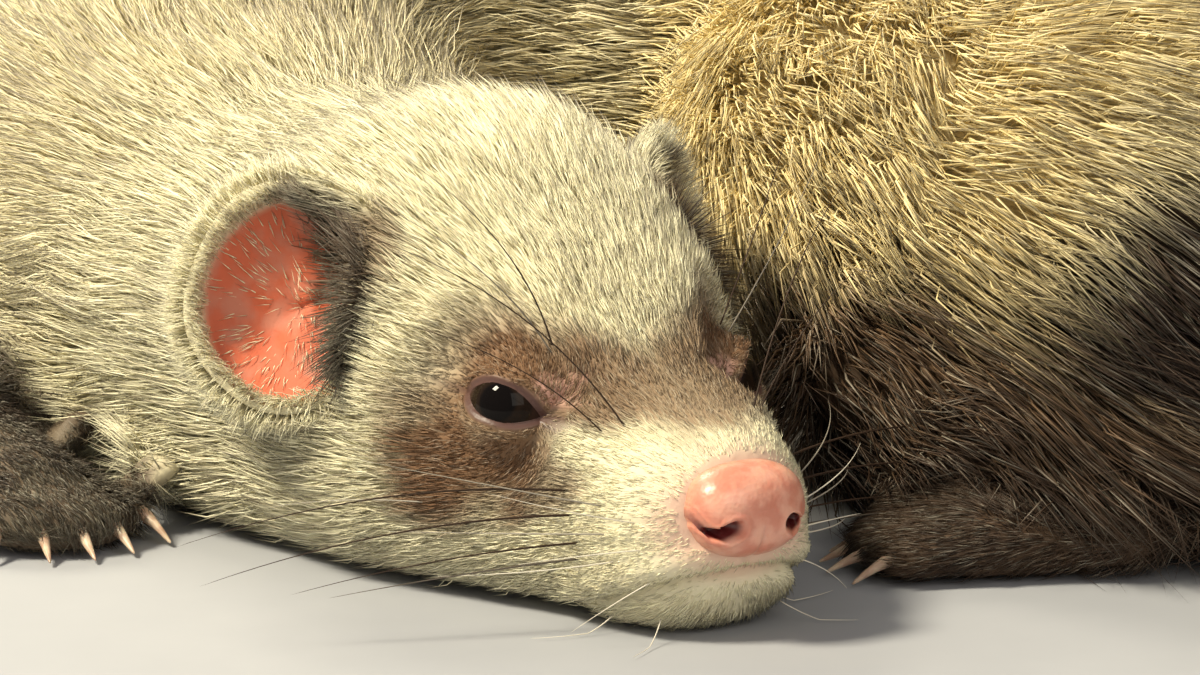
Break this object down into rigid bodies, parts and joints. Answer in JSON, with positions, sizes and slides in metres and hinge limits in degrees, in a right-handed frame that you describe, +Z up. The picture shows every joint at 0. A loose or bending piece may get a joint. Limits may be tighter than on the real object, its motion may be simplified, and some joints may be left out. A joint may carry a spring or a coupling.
{
  "type": "ferret",
  "caption": "Life-size ferret lying curled on the floor with its chin down, sable coat with a pale masked face.",
  "frame": {"origin": "on the floor under the middle of the animal's bounding box", "axes": "+Z up, +Y from the viewer towards the bend of the back, along the animal's longest extent; the head lies at the low-X side with its nose towards -Y"},
  "size_m": [0.2266, 0.2836, 0.058],
  "materials": {
    "face_coat": "short cream fur with a brown mask",
    "body_coat": "golden cream undercoat with brown guard hairs",
    "dark_coat": "dark sable fur of legs and tail",
    "ear_skin": "thin warm pink skin with pale fur at the rim",
    "nose_skin": "moist pebbled pink skin",
    "eye": "wet black",
    "claw_horn": "translucent pale horn"
  },
  "bodies": {
    "root": {"head": "face_coat", "jaw": "face_coat", "neck": "body_coat", "chest": "body_coat", "back": "body_coat", "belly": "body_coat", "rump": "body_coat", "tail_base": "dark_coat", "tail_middle": "dark_coat", "tail_tip": "dark_coat", "nose": "nose_skin", "eye_left": "eye", "ear_left": "ear_skin", "eye_right": "eye", "ear_right": "ear_skin", "left_foreleg": "dark_coat", "left_forepaw": "dark_coat", "left_forepaw_claw_1": "claw_horn", "left_forepaw_claw_2": "claw_horn", "left_forepaw_claw_3": "claw_horn", "left_forepaw_claw_4": "claw_horn", "left_forepaw_claw_5": "claw_horn", "left_hind_leg": "dark_coat", "left_hind_foot": "dark_coat", "left_hind_foot_claw_1": "claw_horn", "left_hind_foot_claw_2": "claw_horn", "left_hind_foot_claw_3": "claw_horn", "left_hind_foot_claw_4": "claw_horn", "left_hind_foot_claw_5": "claw_horn", "right_foreleg": "dark_coat", "right_forepaw": "dark_coat", "right_forepaw_claw_1": "claw_horn", "right_forepaw_claw_2": "claw_horn", "right_forepaw_claw_3": "claw_horn", "right_forepaw_claw_4": "claw_horn", "right_forepaw_claw_5": "claw_horn", "right_hind_leg": "dark_coat", "right_hind_foot": "dark_coat", "right_hind_foot_claw_1": "claw_horn", "right_hind_foot_claw_2": "claw_horn", "right_hind_foot_claw_3": "claw_horn", "right_hind_foot_claw_4": "claw_horn", "right_hind_foot_claw_5": "claw_horn"}
  },
  "joints": []
}
